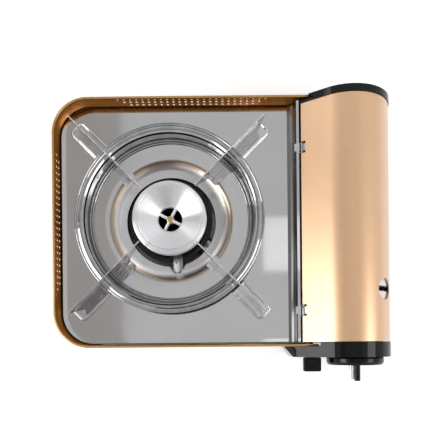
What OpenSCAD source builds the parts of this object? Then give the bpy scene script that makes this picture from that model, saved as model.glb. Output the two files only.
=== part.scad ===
// Portable butane cassette stove.
// X runs along the width, Y from the knob side to the back, Z up; the feet stand on Z = 0.

/* [Body] */
// Left edge of the body, measured from the centre line
body_left = 170; // [165:1:180]
// Front edge of the wind shield
body_front = 108; // [106:1:112]
// Back edge of the wind shield
body_back = 142.5; // [140:0.5:150]
// Height of the wind shield rim
rim_z = 62; // [58:1:66]
// How far the wind shield leans out
rim_lean = 2.5; // [1:0.5:4]
// Corner radius of the rim
corner_r = 36; // [28:1:44]
// Sheet thickness of the body wall
wall_t = 0.9; // [0.6:0.1:1.2]
// Height of the feet
foot_h = 6; // [4:0.5:10]
// Thickness of the bottom pan
pan_t = 1; // [0.6:0.1:1.5]

/* [Perforations] */
// Radius of one air hole
air_hole_r = 1.4; // [1:0.1:2]
// Distance between air holes
air_pitch = 6.2; // [5:0.1:8]
// Holes in the top row
air_count = 25; // [11:2:29]
// Height between rows
air_row = 4.4; // [3.8:0.1:5]

/* [Top plate] */
// Upper face of the top plate
plate_z = 46; // [44:0.5:48]
// Thickness of the top plate
plate_t = 0.8; // [0.5:0.1:1.2]
// Left face of the raised flange by the cover
flange_x = 74.2; // [73:0.1:74.5]
// Bend radius of that flange
flange_r = 8; // [4:0.5:10]
// Radius where the drip well starts
well_r = 61.5; // [60:0.5:70]
// Depth of the drip well
well_depth = 5.5; // [3:0.5:8]
// Radius of the burner opening
opening_r = 46; // [45:0.5:50]

/* [Burner] */
// Burner axis, X
burner_x = -53.5; // [-58:0.5:-50]
// Burner axis, Y
burner_y = 21.5; // [16:0.5:26]
// Radius of the burner cap
cap_r = 37; // [36.5:0.5:39]
// Height of the burner cap's rim
cap_z = 62.5; // [61:0.5:66]
// Radius of the burner cup
cup_r = 33; // [31:0.5:34]
// Radius of the cup's flange
cup_flange_r = 42.5; // [40:0.5:44]
// Flame slots around the port ring
port_count = 36; // [16:2:48]

/* [Pan support] */
// Outer radius of the ring
ring_r = 95; // [92:0.5:96]
// Inner radius of the ring
ring_inner_r = 79; // [76:0.5:81]
// Height of the ring's rolled edge
ring_z = 61; // [58:0.5:63]
// Height of the arms
arm_z = 81; // [76:0.5:84]
// Inner end of the arms
arm_inner_r = 38.5; // [38:0.5:42]
// Outer end of the arms
arm_outer_r = 134; // [128:0.5:135]
// Thickness of an arm
arm_t = 1.2; // [1:0.1:1.5]
// Width of an arm's foot
arm_foot_w = 18.5; // [14:0.5:20]

/* [Cartridge bay] */
// Axis of the cartridge, X
bay_x = 127.5; // [126.5:0.5:127.5]
// Axis of the cartridge, Z
bay_z = 43; // [43:0.5:45]
// Radius of the cartridge that fits
cartridge_r = 34; // [33:0.5:34.5]
// Outer radius of the cover over the cartridge
cover_r = 41.7; // [41.3:0.1:41.7]
// Sheet thickness of the cover
cover_t = 1; // [0.6:0.1:1.2]
// Lower edge of the cover at the right
cover_low_z = 22; // [20:1:30]
// Front end of the cover
cover_front = -103.7; // [-104:0.1:-103]
// Back end of the cover
cover_back = 134.7; // [132:0.1:135]
// Radius of the sight hole
sight_r = 10.5; // [8:0.5:12]
// Angle of the sight hole above the horizontal
sight_angle = 43; // [35:1:50]
// Sight hole, Y
sight_y = -52.5; // [-54:0.5:-50]
// How far the end caps stand proud of the cover
cap_proud = 0.8; // [0.5:0.1:1]
// Thickness of the front cap's shell
shell_t = 2; // [1.5:0.1:2.5]
// Front face of the front cap
front_face = -119; // [-122:0.5:-118]

/* [Controls] */
// Knob axis, X
knob_x = 134; // [131:0.5:136]
// Knob axis, Z
knob_z = 45; // [43:0.5:47]
// Radius of the knob
knob_r = 29; // [25:0.5:32]
// Thickness of the knob's disc
knob_t = 8; // [6:0.5:10]
// Front of the knob's grip
grip_front = -142.5; // [-145:0.5:-140]
// Thickness of the grip
grip_w = 10.6; // [8:0.2:12]
// Lean of the grip when the knob is off
grip_lean = 13.5; // [0:0.5:20]
// Radius of the valve spindle
spindle_r = 4; // [3:0.25:4.5]
// Radial clearance of the spindle
spindle_fit = 0.05; // [0.02:0.01:0.08]
// Width of the lock lever's tab
lever_w = 17.5; // [14:0.5:19]
// Height of the lock lever's tab
lever_h = 8; // [6:0.5:10]
// Travel of the lock lever
lever_travel = 14; // [12:0.5:15]
// Travel of the yoke
yoke_travel = 4.5; // [3:0.5:4.5]

/* [Hidden] */
$fn = 64;
EPS = 0.01;
GAP = 0.3;
rim_lean_start = plate_z;
hem_w = 2;
hem_h = 3;
base_left = -body_left + rim_lean;
base_front = -body_front + rim_lean;
base_back = body_back - rim_lean;
base_r = corner_r - rim_lean;
wall_low = foot_h;
front_end_x = 94.5;
back_end_x = 92;
air_centre_x = -30.5;
air_centre_y = 20;
air_top_z = rim_z - 4.5;
floor_z = foot_h + pan_t;
fit = 0.1;
pan_left = base_left + wall_t + fit;
pan_front = base_front + wall_t + fit;
pan_back = base_back - wall_t - fit;
pan_right = bay_x + cover_r - cover_t - 0.4;
pan_r = base_r - wall_t - fit;
pan_side_h = 8;
pan_right_h = 24;
plate_skirt = 6;
flange_top = plate_z + 13;
lip_w = 1.8;
seam_x = 80;
seam_z = plate_z + 14;
hinge_x = seam_x + 0.3;
hinge_z = seam_z - 2.4;
knuckle_r = 2.2;
pin_r = 1;
pin_fit = 0.05;
hinge_ys = [-72, 91];
knuckle_w = 7;
ear_t = 1.2;
cap_back_face = body_back - 0.3;
gas_z = 26;
regulator_x = bay_x;
regulator_y = -88;
igniter_gap = 10.8;
igniter_x = pan_right - pan_t - igniter_gap;
igniter_r = 7;
igniter_side_gap = 2.5;
regulator_r = igniter_x - igniter_r - igniter_side_gap - bay_x;
regulator_low = 20;
boss_r = 13.5;
regulator_top = bay_z + boss_r + 0.5;
regulator_flange_r = regulator_r + 2.5;
gas_dx = burner_x - regulator_x;
gas_dy = burner_y - regulator_y;
gas_len = sqrt(gas_dx * gas_dx + gas_dy * gas_dy);
gas_angle = atan2(gas_dy, gas_dx);
partition_x = flange_x + plate_t + fit;
partition_t = 1;
partition_top = flange_top - plate_t - 3;
bracket_y = regulator_y + regulator_r + 3;
bracket_t = 1.5;
yoke_y = bracket_y + 16.5;
cheek_t = 1.2;
cheek_gap = 2.8;
cheek_x = pan_right - pan_t - cheek_gap - cheek_t;
collar_r = 22;
tube_r = 8;
tube_bore_r = 6.5;
lever_x = seam_x + 9.2;
lever_z = 50;
lever_pin_r = 2;
lever_plate_x = lever_x - 1.7;
lever_plate_t = 2.5;
lever_pin_y = -92;
lever_pin_z = lever_z - 6;
yoke_arm_x = lever_plate_x + lever_plate_t + GAP + 0.2;
yoke_arm_t = 1.2;
igniter_z = 25;
igniter_front = -104;
igniter_back = -74;
plunger_r = 3;
electrode_x = -47.8;
electrode_y = burner_y - cup_flange_r - 6;
electrode_z = plate_z - 6;
electrode_lean = 28;
ceramic_r = 3;
ceramic_len = 20;
lead_r = 1.4;
lead_z = floor_z + 3.5;
ring_low = plate_z + 0.4;
arm_low = plate_z + GAP + 0.1;
cup_low = foot_h + 8;
cup_top = plate_z - 1;
fork_t = 1.5;

// Points of the spark lead: from the igniter, along the floor, up to the electrode
LEAD = [
    [igniter_x, -73, 25], [igniter_x, -72, 25], [igniter_x - 1, -71.5, 19], [igniter_x - 7, -71.5, 11.5], [140, -71.5, 10.5],
    [120, -71.5, 10.5], [100, -71.5, 10.5], [76, -71.5, 10.5], [50, -71, 10.5], [25, -66, 10.5],
    [0, -58, 10.5], [-20, -50, 10.5], [-36, -44, 12], [-44, -40, 17], [-47.5, -37, 23], [-47.8, -36, 29]
];

// Placing helpers

module rod_y(r, x, z, y0, y1) {
    translate([x, y0, z])
        rotate([-90, 0, 0])
            cylinder(r = r, h = y1 - y0);
}

module rod_x(r, y, z, x0, x1) {
    translate([x0, y, z])
        rotate([0, 90, 0])
            cylinder(r = r, h = x1 - x0);
}

module box(x0, x1, y0, y1, z0, z1) {
    translate([x0, y0, z0])
        cube([x1 - x0, y1 - y0, z1 - z0]);
}

// Extrudes a drawing in X and Z along Y
module extrude_y(y0, y1) {
    translate([0, y1, 0])
        rotate([90, 0, 0])
            linear_extrude(y1 - y0)
                children();
}

// Extrudes a drawing in Y and Z along X
module extrude_x(x0, x1) {
    translate([x0, 0, 0])
        rotate([90, 0, 90])
            linear_extrude(x1 - x0)
                children();
}

// Carries a drawing of (outward distance, height) round the three closed sides of the body
module round_body(front_x, back_x) {
    left_len = base_back - base_front - 2 * base_r;
    translate([front_x, base_front, 0])
        rotate([90, 0, -90])
            linear_extrude(front_x - base_left - base_r)
                children();
    translate([base_left, base_front + base_r, 0])
        rotate([90, 0, 180])
            linear_extrude(left_len)
                children();
    translate([base_left + base_r, base_back, 0])
        rotate([90, 0, 90])
            linear_extrude(back_x - base_left - base_r)
                children();
    translate([base_left + base_r, base_front + base_r, 0])
        rotate([0, 0, 180])
            rotate_extrude(angle = 90)
                translate([base_r, 0])
                    children();
    translate([base_left + base_r, base_back - base_r, 0])
        rotate([0, 0, 90])
            rotate_extrude(angle = 90)
                translate([base_r, 0])
                    children();
}

// Plan of a sheet with round corners on its left side only
module left_rounded(x0, x1, y0, y1, r) {
    translate([x0 + r, y0])
        square([x1 - x0 - r, y1 - y0]);
    translate([x0, y0 + r])
        square([r + 1, y1 - y0 - 2 * r]);
    for (y = [y0 + r, y1 - r])
        translate([x0 + r, y])
            circle(r = r, $fn = 96);
}

// Body

module bottom_pan() {
    color("silver") {
        translate([0, 0, foot_h])
            linear_extrude(pan_t)
                left_rounded(pan_left, pan_right, pan_front, pan_back, pan_r);
        round_body(partition_x - 1, partition_x - 1)
            translate([-wall_t - fit - pan_t, foot_h])
                square([pan_t, pan_side_h]);
        box(partition_x - 1 - EPS, pan_right, pan_front, pan_front + pan_t, foot_h, foot_h + pan_side_h);
        box(partition_x - 1 - EPS, pan_right, pan_back - pan_t, pan_back, foot_h, foot_h + pan_side_h);
        box(pan_right - pan_t, pan_right, pan_front, pan_back, foot_h, foot_h + pan_right_h);
    }
}

foot_spots = [[-138, -76], [-138, 112], [142, -84], [142, 116]];

module rubber_feet() {
    color("dimgray")
        for (spot = foot_spots)
            translate([spot[0], spot[1], 0])
                difference() {
                    union() {
                        cylinder(r = 9, h = foot_h - 2);
                        cylinder(r = 7.5, h = foot_h);
                    }
                    translate([0, 0, -EPS])
                        cylinder(r = 3.5, h = 2);
                    cylinder(r = 1.6, h = foot_h + 1);
                }
}

module foot_screws() {
    color("silver")
        for (spot = foot_spots)
            translate([spot[0], spot[1], 0.6]) {
                cylinder(r = 3, h = 1.4 - EPS);
                cylinder(r = 1.5, h = foot_h - 0.7);
            }
}

module wall_section() {
    polygon([
        [0, wall_low], [0, rim_lean_start], [rim_lean, rim_z], [rim_lean - hem_w, rim_z],
        [rim_lean - hem_w, rim_z - hem_h], [rim_lean - wall_t - 0.5, rim_z - hem_h],
        [-wall_t, rim_lean_start], [-wall_t, wall_low]
    ]);
}

module air_rows() {
    for (row = [0:2])
        for (i = [row:air_count - 1 - row])
            translate([(i - (air_count - 1) / 2) * air_pitch, 0, air_top_z - row * air_row])
                rotate([-90, 0, 0])
                    cylinder(r = air_hole_r, h = 12, center = true, $fn = 16);
}

module body_wall() {
    color("darkgoldenrod")
        difference() {
            round_body(front_end_x, back_end_x)
                wall_section();
            translate([air_centre_x, base_back, 0])
                air_rows();
            translate([base_left, air_centre_y, 0])
                rotate([0, 0, 90])
                    air_rows();
            // way through for the lock lever
            box(lever_x - 5, front_end_x + 1, base_front - 5, base_front + 5,
                lever_z - lever_travel - 12, lever_z + 5);
        }
}

module plate_well_section() {
    polygon([
        [well_r, plate_z], [well_r - 5.3, plate_z - well_depth + 0.8], [opening_r, plate_z - well_depth],
        [opening_r, plate_z - well_depth - plate_t], [well_r - 5.6, plate_z - well_depth + 0.8 - plate_t],
        [well_r, plate_z - plate_t]
    ]);
}

module top_plate() {
    bend_x = flange_x - flange_r;
    color("silver")
        difference() {
            union() {
                difference() {
                    translate([0, 0, plate_z - plate_t])
                        linear_extrude(plate_t)
                            left_rounded(pan_left, bend_x, pan_front, pan_back, pan_r);
                    translate([burner_x, burner_y, plate_z - 5])
                        cylinder(r = well_r, h = 10, $fn = 128);
                }
                translate([burner_x, burner_y, 0])
                    rotate_extrude($fn = 128)
                        plate_well_section();
                round_body(bend_x, bend_x)
                    translate([-wall_t - fit - plate_t, plate_z - plate_skirt])
                        square([plate_t, plate_skirt - plate_t / 2]);
                extrude_y(pan_front, pan_back) {
                    intersection() {
                        translate([bend_x, plate_z + flange_r])
                            difference() {
                                circle(r = flange_r + plate_t);
                                circle(r = flange_r);
                            }
                        translate([bend_x, plate_z - 5])
                            square([flange_r + 5, flange_r + 5]);
                    }
                    translate([flange_x, plate_z + flange_r])
                        square([plate_t, flange_top - plate_z - flange_r]);
                    translate([flange_x, flange_top - plate_t])
                        square([plate_t + lip_w, plate_t]);
                }
            }
            // notch for the spark electrode
            translate([electrode_x - 0.7, electrode_y, plate_z - 12])
                linear_extrude(14)
                    polygon([[-10, 6.5], [-3, -4.5], [4, -4.5], [11, 7.5]]);
        }
}

module heat_partition() {
    color("gainsboro")
        difference() {
            box(partition_x, partition_x + partition_t, pan_front + pan_t + fit, pan_back - pan_t - fit,
                floor_z, partition_top);
            translate([regulator_x, regulator_y, gas_z])
                rotate([0, 0, gas_angle])
                    rotate([0, 90, 0])
                        cylinder(r = tube_r + 1.5, h = gas_len / 2);
            rod_x(3, -71.5, lead_z, partition_x - 2, partition_x + 3);
            box(partition_x - 1, partition_x + 3, 38, 66, floor_z - 1, floor_z + 2);
        }
}

module lead_grommet() {
    color("dimgray")
        difference() {
            rod_x(3, -71.5, lead_z, partition_x - 1, partition_x + partition_t + 1);
            rod_x(lead_r + 0.2, -71.5, lead_z, partition_x - 2, partition_x + partition_t + 2);
        }
}

// Outline of the hump over the cartridge, grown outward by d
module hump(d, low_z, left_x) {
    r = cover_r + d;
    seam_dx = bay_x - seam_x;
    seam_dz = bay_z - seam_z;
    seam_far = sqrt(seam_dx * seam_dx + seam_dz * seam_dz);
    slope = atan2(seam_dz, seam_dx) + asin(cover_r / seam_far);
    normal = slope + 90;
    top_x = bay_x + (r - EPS) * cos(normal);
    top_z = bay_z + (r - EPS) * sin(normal);
    edge_x = seam_x + d * cos(normal);
    edge_z = seam_z + d * sin(normal);
    intersection() {
        translate([bay_x, bay_z])
            circle(r = r, $fn = 128);
        translate([bay_x - r, low_z])
            square([2 * r, 2 * r]);
    }
    translate([bay_x, low_z])
        square([r, bay_z - low_z]);
    polygon([
        [left_x, low_z], [left_x, edge_z - (edge_x - left_x) * (left_x < edge_x ? 0 : tan(slope))],
        [edge_x, edge_z], [top_x, top_z], [bay_x, bay_z], [bay_x + 1, bay_z], [bay_x + 1, low_z]
    ]);
}

// Side view of what the steep facet takes off the front cap's left end
module facet_section(dx, dz) {
    edge_x = seam_x - 6;
    edge_z = seam_z - 3.4;
    translate([edge_x + dx, edge_z + dz])
        polygon([[0, 0], [-11, -19], [-25, -19], [-25, 30], [0, 30]]);
}

module front_cap() {
    left_x = 62;
    slant = 36.8;
    low_z = floor_z;
    wall_front = -body_front - GAP;
    difference() {
        color("black")
            union() {
                extrude_y(front_face, wall_front)
                    hump(cap_proud, low_z, left_x);
                extrude_y(wall_front - EPS, cover_front - GAP)
                    intersection() {
                        hump(cap_proud, low_z, seam_x);
                        translate([front_end_x + 0.3, 0])
                            square([200, 200]);
                    }
            }
        // hollow behind the face
        difference() {
            extrude_y(front_face + shell_t, cover_front + 5)
                intersection() {
                    hump(cap_proud - shell_t, low_z + shell_t, left_x + shell_t);
                    translate([left_x + shell_t, low_z + shell_t])
                        square([200, 200]);
                }
            translate([left_x + shell_t / cos(slant), wall_front, 0])
                rotate([0, 0, slant])
                    translate([-20, -40, -1])
                        cube([20, 60, 200]);
            extrude_y(front_face, cover_front + 6)
                facet_section(shell_t * 0.9, -shell_t * 0.5);
        }
        extrude_y(front_face - 1, wall_front + 1)
            facet_section(0, 0);
        // room for the bottom pan behind
        box(60, pan_right + 0.1, wall_front + 0.2, 0, 0, floor_z + pan_side_h);
        box(pan_right - pan_t - 0.5, pan_right + 0.1, pan_front - 0.1, 0, 0, floor_z + pan_right_h);
        // slanted left end
        translate([left_x, wall_front, 0])
            rotate([0, 0, slant])
                translate([-20, -40, -1])
                    cube([20, 40, 200]);
        rod_y(spindle_r + 2.5, knob_x, knob_z, front_face - 1, front_face + 5);
        box(lever_x - 4, lever_x + 4, front_face - 1, front_face + 5,
            lever_z - lever_travel - lever_h / 2 - 1, lever_z + lever_h / 2 + 1);
    }
}

module rear_cap() {
    wall_back = back_end_x + GAP;
    color("black")
        difference() {
            union() {
                extrude_y(cover_back + GAP, cap_back_face)
                    hump(cap_proud, floor_z + pan_side_h, flange_x + lip_w + 1.5);
                // core that the slope and the round part share
                box(wall_back, bay_x, cover_back + GAP, cap_back_face, bay_z - 8, bay_z + 8);
            }
            // the body wall passes outside the cap's left end
            box(0, wall_back, base_back - wall_t - 1.5, body_back + 1, 0, rim_z + GAP);
            translate([0, 0, rim_z])
                linear_extrude(60)
                    polygon([
                        [0, base_back - wall_t - 1.5], [wall_back - 2, base_back - wall_t - 1.5],
                        [wall_back - 8.5, body_back + 1], [0, body_back + 1]
                    ]);
            // hollow that opens into the bay
            extrude_y(cover_back, cap_back_face - shell_t)
                intersection() {
                    hump(cap_proud - shell_t, floor_z, 50);
                    translate([wall_back + shell_t, floor_z])
                        square([200, 200]);
                }
            box(pan_right - pan_t - 0.5, pan_right + 0.1, 0, pan_back + 0.1, 0, floor_z + pan_right_h);
        }
}

cap_screw_spots = [[100, 15], [160, 20]];

module cap_screws() {
    color("silver")
        for (spot = cap_screw_spots) {
            rod_y(3, spot[0], spot[1], front_face - 1.2, front_face);
            rod_y(3, spot[0], spot[1] + 3, cap_back_face, cap_back_face + 0.3);
        }
}

// Cartridge cover and its hinge

module hinge_brackets() {
    foot_x = partition_x + partition_t;
    color("silver")
        for (y = hinge_ys)
            difference() {
                union() {
                    for (side = [-1, 1])
                        translate([0, y + side * (knuckle_w / 2 + GAP + ear_t / 2), 0]) {
                            box(foot_x, hinge_x, -ear_t / 2, ear_t / 2, hinge_z - 5, hinge_z);
                            rod_y(1.9, hinge_x, hinge_z, -ear_t / 2, ear_t / 2);
                        }
                    box(foot_x, foot_x + 1, y - knuckle_w / 2 - GAP - ear_t, y + knuckle_w / 2 + GAP + ear_t,
                        hinge_z - 12, hinge_z - 4.9);
                }
                rod_y(pin_r, hinge_x, hinge_z, y - 10, y + 10);
            }
}

module hinge_pins() {
    reach = knuckle_w / 2 + GAP + ear_t + 0.5;
    color("silver")
        for (y = hinge_ys)
            rod_y(pin_r, hinge_x, hinge_z, y - reach, y + reach);
}

module cover() {
    notch = knuckle_w + 2 * (GAP + ear_t + 1);
    color("goldenrod")
        difference() {
            union() {
                difference() {
                    extrude_y(cover_front, cover_back)
                        difference() {
                            hump(0, cover_low_z, seam_x);
                            hump(-cover_t, cover_low_z - 5, seam_x - 20);
                            translate([0, -1])
                                square([bay_x, seam_z - 0.8]);
                        }
                    for (y = hinge_ys)
                        rod_y(3.2, hinge_x, hinge_z, y - notch / 2, y + notch / 2);
                }
                for (y = hinge_ys) {
                    rod_y(knuckle_r, hinge_x, hinge_z, y - knuckle_w / 2, y + knuckle_w / 2);
                    translate([hinge_x, y - knuckle_w / 2, hinge_z])
                        rotate([0, -30, 0])
                            translate([0, 0, knuckle_r - cover_t - 0.15])
                                cube([6, knuckle_w, cover_t]);
                }
            }
            for (y = hinge_ys)
                rod_y(pin_r + pin_fit, hinge_x, hinge_z, y - 10, y + 10);
            translate([bay_x, sight_y, bay_z])
                rotate([0, 90 - sight_angle, 0])
                    cylinder(r = sight_r, h = 60);
        }
}

module cover_buffers() {
    color("dimgray")
        for (y = [-85, 112])
            box(pan_right - pan_t - 2, pan_right - pan_t, y - 4, y + 4,
                foot_h + pan_right_h - 8, foot_h + pan_right_h + 1);
}

// Burner

module at_burner() {
    translate([burner_x, burner_y, 0])
        children();
}

// Puts a drawing's Z axis on the gas line, distances from the regulator's axis
module on_gas_line(t) {
    translate([regulator_x, regulator_y, gas_z])
        rotate([0, 0, gas_angle])
            translate([t, 0, 0])
                rotate([0, 90, 0])
                    children();
}

module burner_cup() {
    color("gray")
        difference() {
            union() {
                at_burner()
                    rotate_extrude($fn = 96)
                        polygon([
                            [0, cup_low], [cup_r - 4, cup_low], [cup_r, cup_low + 4], [cup_r, cup_top],
                            [cup_flange_r, cup_top], [cup_flange_r, cup_top + 1.3], [cup_r - 2, cup_top + 1.3],
                            [cup_r - 2, cup_low + 5], [cup_r - 5, cup_low + 2], [5, cup_low + 2],
                            [5, cup_top + 1.5], [0, cup_top + 1.5]
                        ]);
                intersection() {
                    on_gas_line(gas_len - cup_r - 6)
                        cylinder(r = tube_r + 2.5, h = 12);
                    at_burner()
                        difference() {
                            cylinder(r = cup_r + 8, h = 60);
                            cylinder(r = cup_r - 1, h = 60);
                        }
                }
            }
            on_gas_line(gas_len - cup_r - 10)
                cylinder(r = tube_r + 0.05, h = 20);
            at_burner()
                translate([0, 0, cup_top - 20])
                    cylinder(r = 1.6, h = 40);
            // clearance round the spark electrode
            translate([electrode_x, electrode_y + 9, cup_top - 5])
                cylinder(r = 6.5, h = 10);
        }
}

module port_ring() {
    low = cup_top + 1.3;
    color("gray")
        at_burner()
            difference() {
                rotate_extrude($fn = 96)
                    translate([cup_r - 2, low])
                        square([5, cap_z - 8.5 - low]);
                for (i = [0:port_count - 1])
                    rotate([0, 0, i * 360 / port_count])
                        translate([cup_r - 4, -0.8, low + 2])
                            cube([12, 1.6, 4]);
            }
}

module burner_cap() {
    hole_r = 12.2;
    low = cap_z - 8.4;
    color("lightgray")
        at_burner()
            difference() {
                union() {
                    rotate_extrude($fn = 128)
                        polygon([
                            [hole_r, low - 5], [hole_r, low], [hole_r + 1.2, low + 1], [31.5, cap_z - 0.4],
                            [31.7, cap_z - 0.9], [32.3, cap_z - 0.9], [32.5, cap_z], [cap_r - 0.9, cap_z],
                            [cap_r, cap_z - 1], [cap_r, low], [cup_r - 2.5, low], [hole_r + 2.2, low - 5]
                        ]);
                    for (a = [62, 153, 242, 333])
                        rotate([0, 0, a])
                            translate([2, -1.5, low - 5])
                                cube([hole_r - 1, 3, 3]);
                    translate([0, 0, low - 7])
                        cylinder(r = 4, h = 5.5);
                }
                translate([0, 0, low - 20])
                    cylinder(r = 1.75, h = 30);
            }
}

module burner_screw() {
    low = cap_z - 8.4;
    color("gold")
        at_burner() {
            translate([0, 0, low - 1.5])
                cylinder(r = 3, h = 1.8);
            translate([0, 0, cup_top - 16])
                cylinder(r = 1.5, h = low - 1.5 - cup_top + 16 + EPS);
        }
}

module burner_strap() {
    half = 29;
    color("silver")
        at_burner() {
            box(-half, half, -12, 12, cup_low - 1.2, cup_low);
            for (side = [-1, 1])
                translate([side * (half - 0.6), 0, 0])
                    box(-0.6, 0.6, -12, 12, floor_z, cup_low - 1.2);
        }
}

module mixing_tube() {
    flare_t = regulator_r + 28;
    color("silver")
        on_gas_line(flare_t)
            rotate_extrude()
                polygon([
                    [tube_bore_r + 2.2, 0], [tube_r + 2, 0], [tube_r, 6], [tube_r, gas_len - flare_t - cup_r + 3],
                    [tube_bore_r, gas_len - flare_t - cup_r + 3], [tube_bore_r, 6]
                ]);
}

module air_shutter() {
    color("silver")
        on_gas_line(regulator_r + 17)
            difference() {
                cylinder(r = tube_r + 2, h = 11);
                translate([0, 0, 1.2])
                    cylinder(r = tube_r + 1, h = 12);
                translate([0, 0, -1])
                    cylinder(r = 4.1, h = 4);
                for (side = [-1, 1])
                    translate([-3, side * 10 - 4, 3])
                        cube([6, 8, 5]);
            }
}

module gas_jet() {
    color("gold")
        on_gas_line(regulator_r + 14)
            difference() {
                union() {
                    cylinder(r = 4, h = 6);
                    translate([0, 0, 6 - EPS])
                        cylinder(r1 = 3, r2 = 1.5, h = 4);
                }
                translate([0, 0, 1])
                    cylinder(r = 0.5, h = 12);
            }
}

module gas_pipe() {
    color("silver")
        on_gas_line(regulator_r + 4)
            difference() {
                cylinder(r = 3, h = 10);
                translate([0, 0, -1])
                    cylinder(r = 1.8, h = 12);
            }
}

// Gas regulator and valve

module regulator_body() {
    boss_back = bracket_y + 6;
    color("lightgray")
        difference() {
            union() {
                translate([regulator_x, regulator_y, regulator_low])
                    cylinder(r = regulator_r, h = regulator_top - regulator_low);
                translate([regulator_x, regulator_y, regulator_top - 3])
                    cylinder(r = regulator_flange_r, h = 3);
                rod_y(boss_r, bay_x, bay_z, regulator_y, boss_back);
                rod_y(8, knob_x, knob_z, -112, regulator_y);
                on_gas_line(12)
                    cylinder(r = 5, h = regulator_r - 8);
            }
            rod_y(spindle_r + spindle_fit, knob_x, knob_z, -113, -94);
            rod_y(1.8, knob_x, knob_z, -95, -79);
            rod_y(2, bay_x, bay_z, -70, boss_back + 1);
            rod_y(6.05, bay_x, bay_z, boss_back - 3, boss_back + 1);
        }
}

module regulator_cover() {
    low = regulator_top + 1;
    color("lightgray")
        translate([regulator_x, regulator_y, low])
            difference() {
                union() {
                    cylinder(r = regulator_flange_r, h = 2.5);
                    cylinder(r = 14, h = 12);
                }
                translate([0, 0, -EPS])
                    cylinder(r = 11, h = 10);
            }
}

module diaphragm() {
    color("dimgray")
        translate([regulator_x, regulator_y, regulator_top])
            cylinder(r = regulator_flange_r, h = 1);
}

// Points of a ring of the coil's wire, at an angle of a along the coil
function coil_ring(a, r, wire, pitch, sides) = [
    for (i = [0:sides - 1])
        let (b = i * 360 / sides)
        [(r + wire * cos(b)) * cos(a), (r + wire * cos(b)) * sin(a), pitch * a / 360 + wire * sin(b)]
];

// A tube's mesh from rings of points that follow each other
module skin(rings) {
    sides = len(rings[0]);
    last = len(rings) - 1;
    points = [for (ring = rings) for (p = ring) p];
    walls = [
        for (k = [0:last - 1])
            for (i = [0:sides - 1])
                let (j = (i + 1) % sides)
                [k * sides + i, k * sides + j, (k + 1) * sides + j, (k + 1) * sides + i]
    ];
    low_end = [for (i = [0:sides - 1]) sides - 1 - i];
    high_end = [for (i = [0:sides - 1]) last * sides + i];
    polyhedron(points = points, faces = concat([low_end], walls, [high_end]), convexity = 8);
}

module regulator_spring() {
    turns = 4;
    wire = 0.6;
    steps = turns * 12;
    pitch = (9.8 - 2.4 * wire) / turns;
    color("silver")
        translate([regulator_x, regulator_y, regulator_top + 1 + 1.1 * wire])
            mirror([0, 1, 0])
                skin([for (k = [0:steps]) coil_ring(k * 30, 8, wire, pitch, 6)]);
}

// Cheek beside the cartridge that curls over it, under the sight hole
module sight_cheek(y0, y1, low) {
    inner = cheek_x - bay_x;
    box(cheek_x, cheek_x + cheek_t, y0, y1, low, bay_z);
    extrude_y(y0, y1)
        intersection() {
            translate([bay_x, bay_z])
                difference() {
                    circle(r = inner + cheek_t, $fn = 128);
                    circle(r = inner, $fn = 128);
                }
            translate([bay_x, bay_z])
                polygon([[0, 0], [80, 0], [80, 80], [35, 80]]);
        }
}

module regulator_bracket() {
    left_x = bay_x - regulator_r - 8;
    color("gainsboro") {
        extrude_y(bracket_y, bracket_y + bracket_t)
            difference() {
                intersection() {
                    union() {
                        translate([bay_x, bay_z])
                            circle(r = cover_r - cover_t - 3);
                        translate([left_x, floor_z])
                            square([cheek_x + cheek_t - left_x, bay_z - floor_z]);
                    }
                    translate([left_x, floor_z])
                        square([cheek_x + cheek_t - left_x, 100]);
                }
                translate([bay_x, bay_z])
                    circle(r = boss_r + 0.02);
            }
        sight_cheek(bracket_y + bracket_t, bracket_y + 11.5, floor_z);
        box(left_x, cheek_x + cheek_t, bracket_y + bracket_t, bracket_y + 9, floor_z, floor_z + 1.2);
    }
}

module inlet_nozzle() {
    face = bracket_y + 6;
    color("gold")
        difference() {
            union() {
                rod_y(6, bay_x, bay_z, face - 3, face + 1);
                rod_y(4, bay_x, bay_z, face, face + 6);
            }
            rod_y(1.5, bay_x, bay_z, face - 5, face + 8);
        }
}

module inlet_seal() {
    face = bracket_y + 6;
    color("dimgray")
        difference() {
            rod_y(6, bay_x, bay_z, face + 1, face + 3);
            rod_y(4, bay_x, bay_z, face, face + 4);
        }
}

module valve_spindle() {
    color("silver")
        rod_y(spindle_r, knob_x, knob_z, front_face - GAP - knob_t + 2, -94.5);
}

module valve_needle() {
    color("gold") {
        rod_y(1.5, knob_x, knob_z, -92, -83);
        translate([knob_x, -83 - EPS, knob_z])
            rotate([-90, 0, 0])
                cylinder(r1 = 1.5, r2 = 0.4, h = 3);
    }
}

module gland_nut() {
    color("gold")
        difference() {
            translate([knob_x, -112, knob_z])
                rotate([90, 0, 0])
                    cylinder(r = 9, h = 1.8, $fn = 6);
            rod_y(spindle_r + 0.5, knob_x, knob_z, -115, -111);
        }
}

// Sets a grip piece, drawn about the spindle's line, at its lean
module lean_on_knob() {
    translate([knob_x, 0, knob_z])
        rotate([0, -grip_lean, 0])
            children();
}

module knob() {
    disc_back = front_face - GAP;
    color("black")
        difference() {
            union() {
                translate([knob_x, disc_back, knob_z])
                    rotate([90, 0, 0])
                        rotate_extrude($fn = 96)
                            polygon([[0, 0], [knob_r, 0], [knob_r, knob_t - 2], [knob_r - 2, knob_t], [0, knob_t]]);
                lean_on_knob()
                    box(-0.6, grip_w / 2, grip_front, disc_back - knob_t + EPS, 1.5 - knob_r, knob_r - 1.5);
            }
            rod_y(spindle_r, knob_x, knob_z, disc_back - knob_t + 2, disc_back + 1);
        }
}

module knob_inlay() {
    color("silver")
        lean_on_knob()
            box(-grip_w / 2, -0.8, grip_front + 1.5, front_face - GAP - knob_t - EPS, 3 - knob_r, knob_r - 3);
}

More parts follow.
